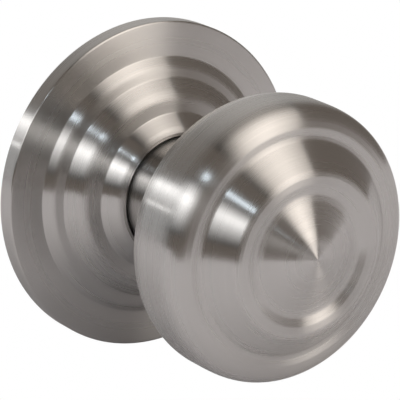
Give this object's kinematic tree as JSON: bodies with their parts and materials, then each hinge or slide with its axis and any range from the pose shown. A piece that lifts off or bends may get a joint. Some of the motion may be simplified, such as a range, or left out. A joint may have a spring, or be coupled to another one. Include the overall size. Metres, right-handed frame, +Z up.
{
  "type": "door knob",
  "caption": "Round satin steel door knob with a ringed face and central cone on a stepped round rose, sprung to return, with square spindle and concealed wood screws.",
  "frame": {"origin": "centre of the rose's back face, on the door's face and on the knob's axis", "axes": "knob stands out along -Y, spindle runs into the door along +Y, +Z up, +X to the right for a person facing the knob"},
  "size_m": [0.0666, 0.09, 0.0666],
  "materials": {
    "satin_steel": "satin, brushed in rings about the knob's axis",
    "turned_steel": "satin, turned",
    "zinc_casting": "matt die casting",
    "plated_steel": "zinc plated",
    "spring_steel": "oil tempered",
    "nylon": "natural moulded",
    "black_oxide": "black oxide"
  },
  "bodies": {
    "rose": {"rose_cover": "satin_steel", "mounting_plate": "zinc_casting", "cassette_cover": "plated_steel", "cassette_rivet_left": "plated_steel", "cassette_rivet_right": "plated_steel", "neck_bush": "nylon", "return_spring_upper_right": "spring_steel", "return_spring_upper_left": "spring_steel", "return_spring_lower_left": "spring_steel", "return_spring_lower_right": "spring_steel", "cover_clip_right": "spring_steel", "cover_clip_left": "spring_steel", "cover_clip_bottom": "spring_steel", "wood_screw_top": "plated_steel", "wood_screw_left": "plated_steel", "wood_screw_right": "plated_steel"},
    "knob": {"knob_front_shell": "satin_steel", "knob_back_shell": "satin_steel", "knob_shank": "turned_steel", "grub_screw": "black_oxide", "spindle": "plated_steel", "shell_lock_nut": "plated_steel", "circlip": "spring_steel", "thrust_washer": "nylon", "wave_washer": "spring_steel", "drive_cam": "zinc_casting"}
  },
  "joints": [
    {"name": "knob_turn", "type": "hinge", "parent": "rose", "child": "knob", "pos_m": [0, 0, 0], "axis": [0, -1, 0], "range_deg": [-50, 50], "stiffness_Nm_per_rad": 0.25, "deforming": ["return_spring_upper_right", "return_spring_upper_left", "return_spring_lower_left", "return_spring_lower_right"]}
  ]
}
